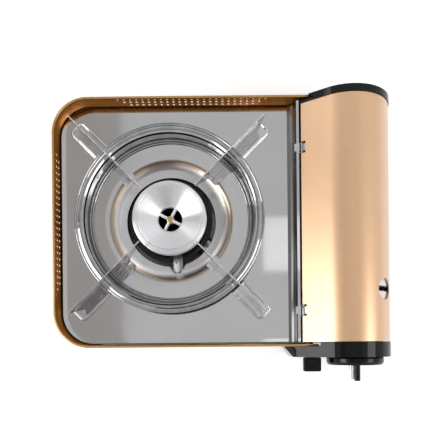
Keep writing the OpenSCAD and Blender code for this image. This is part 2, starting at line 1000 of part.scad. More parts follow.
module ignition_cam() {
    cam_dx = igniter_x - knob_x;
    cam_dz = knob_z - igniter_z;
    reach = sqrt(cam_dx * cam_dx + cam_dz * cam_dz);
    color("white")
        translate([knob_x, -114.6, knob_z])
            rotate([90, 0, 0])
                difference() {
                    union() {
                        cylinder(r = 8, h = 1.6);
                        rotate([0, 0, -172])
                            translate([0, -3, 0])
                                cube([reach, 6, 1.6]);
                    }
                    translate([0, 0, -1])
                        cylinder(r = spindle_r, h = 4);
                }
}

// Spark ignition

module igniter_body() {
    color("black")
        difference() {
            union() {
                rod_y(igniter_r, igniter_x, igniter_z, igniter_front, igniter_back);
                rod_y(2.5, igniter_x, igniter_z, igniter_back, igniter_back + 0.4);
            }
            rod_y(plunger_r + 0.3, igniter_x, igniter_z, igniter_front - 1, igniter_front + 9.5);
        }
}

module igniter_plunger() {
    color("white")
        rod_y(plunger_r, igniter_x, igniter_z, igniter_front - 8, igniter_front + 4.5);
}

module igniter_saddle() {
    color("silver")
        difference() {
            box(igniter_x - 6, igniter_x + 6, igniter_front + 10, igniter_front + 17, floor_z, igniter_z - 3);
            rod_y(igniter_r + 0.02, igniter_x, igniter_z, igniter_front, igniter_back);
        }
}

function lead_dir(k) = let (a = LEAD[max(k - 1, 0)], b = LEAD[min(k + 1, len(LEAD) - 1)]) (b - a) / norm(b - a);

module spark_lead() {
    up = [0.2, 0.7, 0.4];
    rings = [
        for (k = [0:len(LEAD) - 1])
            let (d = lead_dir(k), u = cross(d, up) / norm(cross(d, up)), v = cross(d, u))
            [for (i = [0:7]) LEAD[k] + lead_r * (cos(i * 45) * u + sin(i * 45) * v)]
    ];
    color("white")
        skin(rings);
}

// Puts the electrode's axis on Z, with its lower end at 0
module on_electrode() {
    translate([electrode_x, electrode_y - 4.5, electrode_z - 8])
        rotate([-electrode_lean, 0, 0])
            children();
}

module electrode_ceramic() {
    color("white")
        on_electrode()
            difference() {
                cylinder(r = ceramic_r, h = ceramic_len);
                translate([0, 0, -1])
                    cylinder(r = 1, h = ceramic_len + 2);
            }
}

module electrode_rod() {
    color("silver")
        on_electrode()
            translate([0, 0, -1])
                cylinder(r = 1, h = ceramic_len + 6);
}

module electrode_bracket() {
    z = electrode_z - 5;
    color("silver")
        difference() {
            box(electrode_x - 5, electrode_x + 5, electrode_y - 12, burner_y - cup_r + 3, z, z + 1.2);
            at_burner()
                cylinder(r = cup_r + 0.05, h = 60);
            on_electrode()
                cylinder(r = ceramic_r + 0.05, h = ceramic_len);
        }
}

// Lock lever and yoke

module lock_lever() {
    tab_back = front_face - 0.5;
    color("black")
        difference() {
            union() {
                box(lever_x - lever_w / 2, lever_x + lever_w / 2, tab_back - 14.3, tab_back,
                    lever_z - lever_h / 2, lever_z + lever_h / 2);
                box(lever_x - 3, lever_x + 3, tab_back - EPS, -113, lever_z - lever_h / 2 + 1,
                    lever_z + lever_h / 2 - 1);
                box(lever_plate_x, lever_plate_x + lever_plate_t, -115, lever_pin_y + 6,
                    lever_pin_z - 6, lever_z + lever_h / 2 - 1);
            }
            rod_x(lever_pin_r, lever_pin_y, lever_pin_z, lever_plate_x - 5, lever_plate_x + 9);
        }
}

module lever_pin() {
    color("silver")
        rod_x(lever_pin_r, lever_pin_y, lever_pin_z, lever_plate_x, yoke_arm_x + yoke_arm_t + 1);
}

module cartridge_yoke() {
    slot_r = lever_pin_r + GAP;
    slot_len = sqrt(lever_travel * lever_travel + yoke_travel * yoke_travel);
    slot_tilt = atan2(yoke_travel, lever_travel);
    floor_gap = floor_z + 2;
    arm_low = lever_pin_z - lever_travel - 5;
    color("gainsboro")
        difference() {
            union() {
                extrude_y(yoke_y, yoke_y + fork_t)
                    difference() {
                        translate([yoke_arm_x, floor_gap])
                            square([cheek_x + cheek_t - yoke_arm_x, bay_z + 8 - floor_gap]);
                        translate([bay_x, bay_z])
                            circle(r = collar_r);
                        translate([bay_x - collar_r, bay_z])
                            square([2 * collar_r, 60]);
                    }
                sight_cheek(yoke_y, yoke_y + 8, floor_gap + 3);
                // arm to the lock lever, bent from the same sheet
                box(yoke_arm_x, yoke_arm_x + yoke_arm_t, lever_pin_y - 8, yoke_y + EPS,
                    lever_pin_z - 6, lever_pin_z + 6);
                box(yoke_arm_x, yoke_arm_x + yoke_arm_t, lever_pin_y - 8, lever_pin_y + 12,
                    arm_low, lever_pin_z + 6);
            }
            // slanted slot in which the lever's pin runs
            translate([yoke_arm_x - 2, lever_pin_y, lever_pin_z])
                rotate([slot_tilt, 0, 0]) {
                    rotate([0, 90, 0])
                        cylinder(r = slot_r, h = 6);
                    translate([0, 0, -slot_len])
                        rotate([0, 90, 0])
                            cylinder(r = slot_r, h = 6);
                    translate([0, -slot_r, -slot_len])
                        cube([6, 2 * slot_r, slot_len]);
                }
        }
}

module yoke_guides() {
    color("gray")
        for (x = [yoke_arm_x + 8, cheek_x - 8])
            box(x - 2, x + 2, yoke_y - 1, yoke_y + 7, floor_z, floor_z + 2 - GAP);
}

module cartridge_cradle() {
    inner = cartridge_r + 1;
    outer = bay_z - floor_z;
    color("gainsboro")
        extrude_y(-36, 122)
            difference() {
                intersection() {
                    translate([bay_x, bay_z])
                        circle(r = outer, $fn = 128);
                    translate([bay_x - 27, 0])
                        square([54, bay_z]);
                }
                translate([bay_x, bay_z])
                    circle(r = inner, $fn = 128);
            }
}

module heat_panel() {
    color("lightgray")
        box(burner_x + 13.5, bay_x - 12, 40, 64, floor_z, floor_z + 1);
}

// Pan support

module ring_section() {
    polygon([
        [ring_inner_r, ring_low], [ring_inner_r + 5, ring_low + 0.2], [ring_inner_r + 7.5, ring_low + 2.4],
        [ring_r - 0.6, ring_z - 1.4], [ring_r - 1.6, ring_z - 0.6], [ring_inner_r + 6.6, ring_low + 3.2],
        [ring_inner_r + 4.6, ring_low + 1.2], [ring_inner_r, ring_low + 1]
    ]);
    translate([ring_r - 1.4, ring_z - 1.1])
        circle(r = 1.4, $fn = 24);
}

module pan_ring() {
    color("lightgray")
        at_burner()
            rotate_extrude($fn = 128)
                ring_section();
}

module pan_arm(number) {
    foot_end = arm_outer_r + 3;
    foot_start = ring_r + 0.5;
    color("lightgray")
        at_burner()
            rotate([0, 0, 45 + 90 * number])
                difference() {
                    union() {
                        translate([0, arm_t / 2, 0])
                            rotate([90, 0, 0])
                                linear_extrude(arm_t)
                                    polygon([
                                        [arm_inner_r, arm_z], [arm_outer_r, arm_z], [arm_outer_r, arm_z - 5],
                                        [arm_outer_r - 8, arm_low], [well_r + 2, arm_low],
                                        [well_r - 6, arm_low + 14], [arm_inner_r, arm_z - 7]
                                    ]);
                        box(well_r - 4, well_r + 4, -7, 7, arm_low, arm_low + 1);
                        box(foot_start, foot_end - 5, -arm_foot_w / 2, arm_foot_w / 2, arm_low, arm_low + 1);
                        box(foot_start, foot_end, -arm_foot_w / 2 + 5, arm_foot_w / 2 - 5, arm_low, arm_low + 1);
                        for (side = [-1, 1])
                            translate([foot_end - 5, side * (arm_foot_w / 2 - 5), arm_low])
                                cylinder(r = 5, h = 1);
                        for (side = [-1, 1])
                            translate([0, side * (arm_foot_w / 2 - 0.6), 0])
                                box(foot_start + 2, foot_end - 5, -0.6, 0.6, arm_low, arm_low + 2.4);
                    }
                    rotate_extrude($fn = 128) {
                        ring_section();
                        translate([ring_inner_r - 1, ring_low - 1])
                            square([6.5, 1.4]);
                    }
                }
}

bottom_pan();
rubber_feet();
foot_screws();
body_wall();
top_plate();
heat_partition();
lead_grommet();
front_cap();
rear_cap();
cap_screws();
hinge_brackets();
hinge_pins();
cover();
cover_buffers();
burner_cup();
port_ring();
burner_cap();
burner_screw();
burner_strap();
mixing_tube();
air_shutter();
gas_jet();
gas_pipe();
regulator_body();
regulator_cover();
diaphragm();
regulator_spring();
regulator_bracket();
inlet_nozzle();
inlet_seal();
valve_spindle();
valve_needle();
gland_nut();
knob();
knob_inlay();
ignition_cam();
igniter_body();
igniter_plunger();
igniter_saddle();
spark_lead();
electrode_ceramic();
electrode_rod();
electrode_bracket();
lock_lever();
lever_pin();
cartridge_yoke();
yoke_guides();
cartridge_cradle();
heat_panel();
pan_ring();
pan_arm(0);  // pan_arm_1
pan_arm(1);  // pan_arm_2
pan_arm(2);  // pan_arm_3
pan_arm(3);  // pan_arm_4
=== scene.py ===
import bpy, bmesh, math
from mathutils import Matrix, Vector


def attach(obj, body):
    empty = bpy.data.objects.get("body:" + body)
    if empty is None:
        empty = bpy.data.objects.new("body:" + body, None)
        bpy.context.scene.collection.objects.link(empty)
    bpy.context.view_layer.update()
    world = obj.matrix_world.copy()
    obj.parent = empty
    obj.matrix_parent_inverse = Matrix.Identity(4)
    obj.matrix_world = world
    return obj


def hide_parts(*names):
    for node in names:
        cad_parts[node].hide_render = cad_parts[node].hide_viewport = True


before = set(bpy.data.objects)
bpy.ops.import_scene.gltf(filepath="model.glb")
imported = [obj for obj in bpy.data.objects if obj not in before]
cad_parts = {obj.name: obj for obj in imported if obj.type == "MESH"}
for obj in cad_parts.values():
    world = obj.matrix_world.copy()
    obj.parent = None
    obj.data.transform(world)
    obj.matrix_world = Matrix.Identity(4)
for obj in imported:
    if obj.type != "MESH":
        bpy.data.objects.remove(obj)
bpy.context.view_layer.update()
shop = bpy.context.scene

# Camera: looks straight down on the stove from a little in front of its middle, with
# a shifted lens that keeps the whole stove in the picture.
lens = bpy.data.cameras.new("bench_camera")
lens.sensor_width = 36
lens.lens = 41.9
lens.shift_x = -0.0168
lens.shift_y = 0.267
camera = bpy.data.objects.new("bench_camera", lens)
camera.location = (0.00685, -0.104, 0.580)
camera.rotation_euler = (0, 0, math.radians(-0.55))
shop.collection.objects.link(camera)
shop.camera = camera

# Room: a pale floor, an even white surround, grey sheets overhead and a dark flag at the
# back that the polished steel mirrors, and two soft lamps with a small one behind on the
# left. None of it belongs to the stove.
shop.view_settings.view_transform = "Standard"


def wired(tree, kind, inputs, operation=None):
    """Adds a shader node; each input that is named takes a value or another node's output."""
    made = tree.nodes.new(kind)
    if operation:
        made.operation = operation
    for socket, value in inputs.items():
        if isinstance(value, bpy.types.NodeSocket):
            tree.links.new(value, made.inputs[socket])
        else:
            made.inputs[socket].default_value = value
    return made


surround = bpy.data.worlds.new("surround")
shop.world = surround
surround.use_nodes = True
sky = surround.node_tree
glow = sky.nodes["Background"]
glow.inputs["Color"].default_value = (1, 1, 1, 1)
glow.inputs["Strength"].default_value = 0.55
open_white = wired(sky, "ShaderNodeBackground", {"Color": (1, 1, 1, 1), "Strength": 1.0})
path = wired(sky, "ShaderNodeLightPath", {}).outputs
seen = wired(sky, "ShaderNodeMath", {0: path["Is Camera Ray"], 1: path["Is Glossy Ray"]}, "MAXIMUM")
seen = wired(sky, "ShaderNodeMath", {0: seen.outputs[0], 1: path["Is Transmission Ray"]}, "MAXIMUM")
pick = wired(sky, "ShaderNodeMixShader", {"Fac": seen.outputs[0], 1: glow.outputs[0],
                                          2: open_white.outputs[0]})
sky.links.new(pick.outputs[0], sky.nodes["World Output"].inputs["Surface"])


def room_sheet(name, low, high, height, colour, shine):
    """A level sheet of the room: its own colour, plus a plain glow that eyes and mirrors see."""
    bm = bmesh.new()
    bmesh.ops.create_grid(bm, x_segments=1, y_segments=1, size=0.5)
    bmesh.ops.scale(bm, vec=(high[0] - low[0], high[1] - low[1], 1), verts=bm.verts)
    bmesh.ops.translate(bm, vec=((low[0] + high[0]) / 2, (low[1] + high[1]) / 2, height), verts=bm.verts)
    mesh = bpy.data.meshes.new(name)
    bm.to_mesh(mesh)
    bm.free()
    sheet = bpy.data.objects.new(name, mesh)
    shop.collection.objects.link(sheet)
    paper = bpy.data.materials.new(name)
    paper.use_nodes = True
    tree = paper.node_tree
    matt = tree.nodes["Principled BSDF"]
    matt.inputs["Base Color"].default_value = (*colour, 1)
    matt.inputs["Roughness"].default_value = 0.9
    matt.inputs["Specular IOR Level"].default_value = 0.1
    lit = wired(tree, "ShaderNodeEmission", {"Color": (1, 1, 1, 1), "Strength": shine})
    dark = wired(tree, "ShaderNodeEmission", {"Strength": 0})
    ray = wired(tree, "ShaderNodeLightPath", {}).outputs
    eye = wired(tree, "ShaderNodeMath", {0: ray["Is Camera Ray"], 1: ray["Is Glossy Ray"]}, "MAXIMUM")
    choose = wired(tree, "ShaderNodeMixShader", {"Fac": eye.outputs[0], 1: dark.outputs[0],
                                                 2: lit.outputs[0]})
    both = wired(tree, "ShaderNodeAddShader", {0: matt.outputs[0], 1: choose.outputs[0]})
    tree.links.new(both.outputs[0], tree.nodes["Material Output"].inputs["Surface"])
    mesh.materials.append(paper)
    return sheet


room_sheet("floor", low=(-4, -4), high=(4, 4), height=-0.0002, colour=(0.9, 0.9, 0.9), shine=0.45)
overhead = (room_sheet("ceiling", low=(-0.9, -0.9), high=(0.9, 0.9), height=1.70,
                       colour=(0.5, 0.5, 0.5), shine=0.30),
            room_sheet("left_ceiling", low=(-0.9, -0.9), high=(-0.45, 0.9), height=1.69,
                       colour=(0.41, 0.38, 0.35), shine=0.18),
            room_sheet("left_shade", low=(-2.3, 0.28), high=(-0.92, 0.72), height=1.66,
                       colour=(0.20, 0.16, 0.16), shine=0.10),
            room_sheet("pale_panel", low=(0.144, 0.192), high=(0.50, 0.418), height=1.68,
                       colour=(0.5, 0.5, 0.5), shine=0.80),
            room_sheet("front_shade", low=(-0.50, -1.60), high=(0.45, -0.35), height=1.67,
                       colour=(0.16, 0.13, 0.13), shine=0.12))
for sheet in overhead:
    sheet.visible_camera = False
flag = room_sheet("back_flag", low=(-1.3, -0.3), high=(1.3, 0.3), height=0, colour=(0.03, 0.03, 0.03),
                  shine=0.03)
flag.data.transform(Matrix.Translation((0, 1.7, 0.40)) @ Matrix.Rotation(math.pi / 2, 4, "X"))
flag.visible_camera = False
flag.visible_diffuse = False
flag.visible_shadow = False


def soft_lamp(name, place, target, width, height, power):
    """A soft box that faces a point on the bench."""
    lamp = bpy.data.lights.new(name, "AREA")
    lamp.shape = "RECTANGLE"
    lamp.size = width
    lamp.size_y = height
    lamp.energy = power
    stand = bpy.data.objects.new(name, lamp)
    stand.location = place
    aim = Vector(target) - Vector(place)
    stand.rotation_euler = aim.to_track_quat("-Z", "Y").to_euler()
    shop.collection.objects.link(stand)


soft_lamp("left_soft_box", place=(-1.08, -0.30, 0.78), target=(0, 0, 0.05),
          width=1.0, height=0.6, power=11)
soft_lamp("right_soft_box", place=(1.00, -0.38, 0.82), target=(0, 0, 0.05),
          width=0.8, height=0.5, power=5)
soft_lamp("back_left_soft_box", place=(-0.80, 0.72, 0.70), target=(-0.05, 0.02, 0.05),
          width=0.22, height=0.15, power=0.28)


# Bottom pan, partition, brackets and screws: pressed zinc-plated sheet steel. The pan
# is crimped into the body wall; the partition parts the burner from the gas bay.
def plating(name, colour, metal, rough, mottle=0.06, mottle_size=45, grain=(600, 600, 600),
            grain_depth=0.02, rough_play=0.05):
    """A surface finish: cloudy colour, and a fine grain that plays in roughness and height."""
    skin = bpy.data.materials.new(name)
    skin.use_nodes = True
    tree = skin.node_tree
    surface = tree.nodes["Principled BSDF"]
    surface.inputs["Metallic"].default_value = metal
    where = wired(tree, "ShaderNodeTexCoord", {}).outputs["Object"]
    cloud = wired(tree, "ShaderNodeTexNoise", {"Vector": where, "Scale": mottle_size, "Detail": 4})
    tint = wired(tree, "ShaderNodeValToRGB", {"Fac": cloud.outputs["Fac"]})
    dull, bright = tint.color_ramp.elements
    dull.position = 0.3
    bright.position = 0.7
    dull.color = (*[c * (1 - mottle) for c in colour], 1)
    bright.color = (*[min(1, c * (1 + mottle)) for c in colour], 1)
    tree.links.new(tint.outputs["Color"], surface.inputs["Base Color"])
    stretch = wired(tree, "ShaderNodeMapping", {"Vector": where, "Scale": grain})
    speck = wired(tree, "ShaderNodeTexNoise", {"Vector": stretch.outputs["Vector"], "Scale": 1,
                                               "Detail": 3})
    play = wired(tree, "ShaderNodeMapRange", {"Value": speck.outputs["Fac"],
                                              "From Min": 0.3, "From Max": 0.7,
                                              "To Min": max(0.02, rough - rough_play),
                                              "To Max": rough + rough_play})
    tree.links.new(play.outputs["Result"], surface.inputs["Roughness"])
    relief = wired(tree, "ShaderNodeBump", {"Height": speck.outputs["Fac"], "Strength": grain_depth,
                                            "Distance": 0.0003})
    tree.links.new(relief.outputs["Normal"], surface.inputs["Normal"])
    return skin


def coat(skin, *nodes):
    """Gives a finish to solids that keep their own shape."""
    for name in nodes:
        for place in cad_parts[name].material_slots:
            place.material = skin


zinc = plating("zinc_plated_steel", (0.50, 0.50, 0.51), metal=1.0, rough=0.34, mottle=0.14,
               mottle_size=160, grain=(500, 500, 500), grain_depth=0.05)
coat(zinc, "bottom_pan", "foot_screws", "heat_partition", "burner_strap", "mixing_tube", "air_shutter",
     "regulator_spring", "regulator_bracket", "valve_spindle", "igniter_saddle", "electrode_bracket",
     "lever_pin", "cartridge_yoke", "cartridge_cradle", "hinge_pins", "cap_screws")

# Body wall: one strip of sheet steel wrapped round the left, front and back and
# hemmed along its rim, with three rows of punched air holes, in bronze-gold paint made darker than the
# cover's gold: painted shade for the gap round the plate.
def tuned(skin, socket, value):
    """Sets one more value of a finish."""
    skin.node_tree.nodes["Principled BSDF"].inputs[socket].default_value = value


# Deep bronze-gold: the paint's colour, darkened further as painted shade for the gap between wall and plate.
bronze = plating("bronze_gold_paint_and_gap_shade", (0.37, 0.155, 0.045), metal=0.92, rough=0.36, mottle=0.05,
                 mottle_size=60, grain=(1500, 1500, 1500), grain_depth=0.02)
tuned(bronze, "Specular Tint", (0.62, 0.36, 0.16, 1))
coat(bronze, "body_wall")

# Feet: four round rubber buttons under the bottom pan, moulded with a small brim at
# the top, each held by one screw through its hollow.
MM = 0.001
BURNER = (-53.5, 21.5)


def moved(bm, shift, turn=0, axis="Z"):
    """Turns a shape about an axis through the origin, by that many degrees, then shifts it."""
    if turn:
        about = Matrix.Rotation(math.radians(turn), 3, axis)
        bmesh.ops.rotate(bm, cent=(0, 0, 0), matrix=about, verts=bm.verts)
    bmesh.ops.translate(bm, vec=shift, verts=bm.verts)
    return bm


def round_section(points, ease, steps=96, centre=BURNER, axis="Z"):
    """Turns a section about a centre line: (radius, height) corners, eased round by that much."""
    bm = bmesh.new()
    corners = [bm.verts.new((r, 0, h)) for r, h in points]
    bm.faces.new(corners)
    on_axis = 0.01
    if ease:
        sharp = [v for v in corners if v.co.x > on_axis]
        bmesh.ops.bevel(bm, geom=sharp, offset=ease, offset_type="OFFSET", segments=4, profile=0.5,
                        affect="VERTICES", clamp_overlap=True, material=-1)
    bmesh.ops.delete(bm, geom=bm.faces[:], context="FACES_ONLY")
    core = [e for e in bm.edges if all(v.co.x < on_axis for v in e.verts)]
    bmesh.ops.delete(bm, geom=core, context="EDGES")
    bmesh.ops.spin(bm, geom=bm.verts[:] + bm.edges[:], cent=(0, 0, 0), axis=(0, 0, 1),
                   angle=math.tau, steps=steps, use_merge=True)
    if axis == "Y":
        return moved(bm, (centre[0], 0, centre[1]), turn=90, axis="X")
    return moved(bm, (*centre, 0))


def solid(bm, name):
    """Cleans a modelled shape, brings it from millimetres to metres and puts it on the bench."""
    bmesh.ops.remove_doubles(bm, verts=bm.verts, dist=0.002)
    bmesh.ops.recalc_face_normals(bm, faces=bm.faces)
    bmesh.ops.scale(bm, vec=(MM, MM, MM), verts=bm.verts)
    mesh = bpy.data.meshes.new(name)
    bm.to_mesh(mesh)
    bm.free()
    for face in mesh.polygons:
        face.use_smooth = True
    piece = bpy.data.objects.new(name, mesh)
    shop.collection.objects.link(piece)
    return piece


def dress(piece, body, stands_for, skin, ease=0.0, steps=3, corner=35):
    """Eases a piece's edges, gives it its finish, and fixes it to what carries it."""
    if ease:
        rounding = piece.modifiers.new("eased_edges", "BEVEL")
        rounding.width = ease * MM
        rounding.segments = steps
        rounding.limit_method = "ANGLE"
        rounding.angle_limit = math.radians(corner)
        rounding.harden_normals = True
    else:
        piece.data.set_sharp_from_angle(angle=math.radians(corner))
    piece.data.materials.clear()
    piece.data.materials.append(skin)
    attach(piece, body)
    if stands_for:
        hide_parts(*stands_for)


def join(bm, part):
    """Adds one modelled shape to another."""
    extra = bpy.data.meshes.new("extra")
    part.to_mesh(extra)
    part.free()
    bm.from_mesh(extra)
    bpy.data.meshes.remove(extra)


rubber = plating("moulded_rubber", (0.028, 0.028, 0.028), metal=0.0, rough=0.72, mottle=0.2,
                 mottle_size=120, grain=(900, 900, 900), grain_depth=0.12)
coat(rubber, "lead_grommet", "cover_buffers", "diaphragm", "inlet_seal")
feet = bmesh.new()
for spot in ((-138, -76), (-138, 112), (142, -84), (142, 116)):
    button = [(3.5, 0), (8.6, 0), (9, 4), (7.5, 4.4), (7.5, 6), (1.7, 6), (1.7, 2), (3.5, 2)]
    join(feet, round_section(button, ease=0.35, steps=48, centre=spot))
dress(solid(feet, "foot_buttons"), "stove_body", ["rubber_feet"], rubber, corner=30)

# Rim bead: the wall's top edge is rolled over into a small round bead, from one end cap round
# the left side to the other, in a paler gold than the wall: a painted highlight along the rolled edge.
RIGHT_ANGLE = math.pi / 2
RIM_Z = 61.8


def verts_of(geom):
    """The vertices among what an operator hands back."""
    return [part for part in geom if isinstance(part, bmesh.types.BMVert)]


def edges_of(geom):
    """The edges among what an operator hands back."""
    return [part for part in geom if isinstance(part, bmesh.types.BMEdge)]


# Paler than the wall's gold: a painted highlight, the light the rolled edge catches.
rim_highlight_gold = plating("rim_gold_painted_highlight", (0.52, 0.31, 0.12), metal=0.85, rough=0.30, mottle=0.04,
                    mottle_size=90, grain=(1200, 1200, 1200), grain_depth=0.02)
bead = bmesh.new()
bmesh.ops.create_circle(bead, cap_ends=False, segments=16, radius=1.15)
moved(bead, (93.4, -106.8, RIM_Z), turn=90, axis="Y")
front_corner = (-134, -72, 0)
back_corner = (-134, 106.5, 0)
front_run, left_run, back_run = (-227.4, 0, 0), (0, 178.5, 0), (217, 0, 0)
hoop = bead.edges[:]
for run, corner in ((front_run, front_corner), (left_run, back_corner), (back_run, None)):
    drawn = bmesh.ops.extrude_edge_only(bead, edges=hoop)["geom"]
    ends = verts_of(drawn)
    hoop = [e for e in edges_of(drawn) if all(v in ends for v in e.verts)]
    bmesh.ops.translate(bead, vec=run, verts=ends)
    if corner:
        hoop = edges_of(bmesh.ops.spin(bead, geom=ends + hoop, cent=corner, axis=(0, 0, -1),
                                       angle=RIGHT_ANGLE, steps=24)["geom_last"])
bmesh.ops.holes_fill(bead, edges=[e for e in bead.edges if len(e.link_faces) == 1], sides=0)
dress(solid(bead, "rim_bead"), "stove_body", [], rim_highlight_gold, corner=40)

# Top plate: bright stainless steel sheet that curls up 0.6 mm at the wall, in its relief, with
# a turned-up flange beside the gas bay, brush-grained on its bend and painted dark there as painted shade,
# and a round well whose lip carries a brown band, a painted reflection of the gold wall.
stainless = plating("bright_stainless", (0.60, 0.60, 0.61), metal=1.0, rough=0.065, mottle=0.03,
                    mottle_size=18, grain=(3, 700, 700), grain_depth=0.004, rough_play=0.02)
plate_tree = stainless.node_tree
spot = wired(plate_tree, "ShaderNodeTexCoord", {}).outputs["Object"]
flat_middle = (0.2350, 0.0187, 0.045)
flat_reach = (0.3686, 0.0908, 1)
rise_from, rise_to, rise = 0.0239, 0.0314, 0.0006
for operation, amount in (("SUBTRACT", flat_middle), ("ABSOLUTE", None), ("SUBTRACT", flat_reach),
                          ("MAXIMUM", (0, 0, 0))):
    inputs = {0: spot, 1: amount} if amount else {0: spot}
    spot = wired(plate_tree, "ShaderNodeVectorMath", inputs, operation).outputs["Vector"]
outside = wired(plate_tree, "ShaderNodeVectorMath", {0: spot}, "LENGTH").outputs["Value"]
margin = wired(plate_tree, "ShaderNodeMapRange", {"Value": outside, "From Min": rise_from,
                                                  "From Max": rise_to})
climb = wired(plate_tree, "ShaderNodeMath", {0: margin.outputs["Result"], 1: 2}, "POWER")
upturn = wired(plate_tree, "ShaderNodeBump", {"Height": climb.outputs["Value"], "Strength": 1,
                                              "Distance": rise,
                                              "Normal": plate_tree.nodes["Bump"].outputs["Normal"]})
plate_tree.links.new(upturn.outputs["Normal"], plate_tree.nodes["Principled BSDF"].inputs["Normal"])


def block(x0, x1, y0, y1, z0, z1):
    """A plain block between two corners, to shape or to cut with."""
    bm = bmesh.new()
    bmesh.ops.create_cube(bm, size=1)
    bmesh.ops.scale(bm, vec=(x1 - x0, y1 - y0, z1 - z0), verts=bm.verts)
    bmesh.ops.translate(bm, vec=((x0 + x1) / 2, (y0 + y1) / 2, (z0 + z1) / 2), verts=bm.verts)
    return bm


def running(bm, axis):
    """The edges of a block that run along X, Y or Z."""
    way = "XYZ".index(axis)
    return [e for e in bm.edges if abs(e.verts[0].co[way] - e.verts[1].co[way]) > 0.5]


def eased(bm, edges, radius, steps, clamp=True):
    """Rounds some edges of a modelled shape."""
    bmesh.ops.bevel(bm, geom=edges, offset=radius, offset_type="OFFSET", segments=steps, profile=0.5,
                    affect="EDGES", clamp_overlap=clamp, material=-1)


def arc(centre, radius, angles):
    """Points on an arc round a centre."""
    return [(centre[0] + radius * math.cos(a), centre[1] + radius * math.sin(a)) for a in angles]


def drawn_out(corners, travel):
    """Draws a flat face, given by its (x, y, z) corners, out into a prism."""
    bm = bmesh.new()
    face = bm.faces.new([bm.verts.new(corner) for corner in corners])
    far = bmesh.ops.extrude_face_region(bm, geom=[face])["geom"]
    bmesh.ops.translate(bm, vec=travel, verts=verts_of(far))
    return bm


def pulled(corners, y, length):
    """Pulls an upright face, given by its (x, z) corners, from y along the bay."""
    bm = drawn_out([(x, y, z) for x, z in corners], (0, length, 0))
    bmesh.ops.recalc_face_normals(bm, faces=bm.faces)
    return bm


def plug(radius, depth, segments):
    """A round plug round the Z axis, to cut with."""
    bm = bmesh.new()
    bmesh.ops.create_cone(bm, cap_ends=True, segments=segments, radius1=radius, radius2=radius, depth=depth)
    return bm


def cut(piece, tool):
    """Punches one shape out of another."""
    punch = piece.modifiers.new("punch", "BOOLEAN")
    punch.operation = "DIFFERENCE"
    punch.solver = "EXACT"
    punch.object = tool
    bench = bpy.context.evaluated_depsgraph_get()
    shaped = bpy.data.meshes.new_from_object(piece.evaluated_get(bench))
    piece.modifiers.clear()
    piece.data = shaped
    bpy.data.objects.remove(tool)


SHEET = 0.8
PLATE_FRONT = -103.5
PLATE_BACK = 138.1
PLATE_TOP = 46
PLATE_UNDER = PLATE_TOP - SHEET
BEND = (66.2, 54)
BEND_R = 8
FLANGE_LEFT = 74.2
FLANGE_TOP = 59
LIP = 76.8
sheet = block(-165.0, BEND[0], PLATE_FRONT, PLATE_BACK, PLATE_UNDER, PLATE_TOP)
left_corners = [e for e in running(sheet, "Z") if all(v.co.x < -160 for v in e.verts)]
eased(sheet, left_corners, radius=31.2, steps=24, clamp=False)
bmesh.ops.bisect_plane(sheet, geom=sheet.verts[:] + sheet.edges[:] + sheet.faces[:], dist=0.001,
                       plane_co=(BEND[0] - 1, 0, 0), plane_no=(1, 0, 0))
curl = [math.radians(a) for a in range(-90, 1, 6)]
flange = arc(BEND, BEND_R, curl)
flange += [(FLANGE_LEFT, FLANGE_TOP), (LIP, FLANGE_TOP), (LIP, FLANGE_TOP - SHEET), (75, FLANGE_TOP - SHEET)]
flange += arc(BEND, BEND_R + SHEET, reversed(curl))
join(sheet, pulled(flange, y=PLATE_FRONT, length=PLATE_BACK - PLATE_FRONT))
seam = [f for f in sheet.faces if all(abs(v.co.x - BEND[0]) < 0.001 for v in f.verts)]
bmesh.ops.delete(sheet, geom=seam, context="FACES_ONLY")
plate = solid(sheet, "top_plate_sheet")
mouth = moved(plug(radius=68, depth=20, segments=128), (*BURNER, PLATE_TOP))
cut(plate, solid(mouth, "well_mouth"))
dress(plate, "stove_body", ["top_plate"], stainless, corner=30)
# The flange's dark grey, far below the plate's steel, is painted shade for the darker light its bend
# catches.
flange_shade_finish = plating("brushed_flange_painted_shade", (0.19, 0.19, 0.19), metal=1.0, rough=0.30, mottle=0.04,
                  mottle_size=40, grain=(700, 4, 700), grain_depth=0.01, rough_play=0.03)
plate.data.materials.append(flange_shade_finish)
for face in plate.data.polygons:
    if BEND[0] * MM < face.center.x < FLANGE_LEFT * MM + 0.0003:
        face.material_index = 1
# Painted reflection: a brown band ringed round the well's sloping lip stands in for the gold wall the slope
# mirrors.
well_reflection_finish = plating("stainless_painted_wall_reflection", (0.60, 0.60, 0.61), metal=1.0, rough=0.22, mottle=0.03,
                 mottle_size=18, grain=(700, 700, 700), grain_depth=0.004, rough_play=0.02)
well_tree = well_reflection_finish.node_tree
where = wired(well_tree, "ShaderNodeTexCoord", {}).outputs["Object"]
well_middle = (BURNER[0] * MM, BURNER[1] * MM, PLATE_TOP * MM)
apart = wired(well_tree, "ShaderNodeVectorMath", {0: where, 1: well_middle}, "SUBTRACT").outputs["Vector"]
radius = wired(well_tree, "ShaderNodeVectorMath", {0: apart}, "LENGTH").outputs["Value"]
span = wired(well_tree, "ShaderNodeMapRange", {"Value": radius, "From Min": 0.050, "From Max": 0.066})
reflected_wall_band = wired(well_tree, "ShaderNodeValToRGB", {"Fac": span.outputs["Result"]})
for stop, shade in ((0.25, (1, 1, 1)), (0.45, (0.95, 0.89, 0.83)), (0.62, (0.54, 0.43, 0.33)),
                    (0.76, (0.50, 0.39, 0.28)), (0.88, (1, 1, 1))):
    reflected_wall_band.color_ramp.elements.new(stop).color = (*shade, 1)
reflected_wall_band.color_ramp.elements[0].color = (1, 1, 1, 1)
reflected_wall_band.color_ramp.elements[-1].color = (1, 1, 1, 1)
steel_colour = well_tree.nodes["Principled BSDF"].inputs["Base Color"]
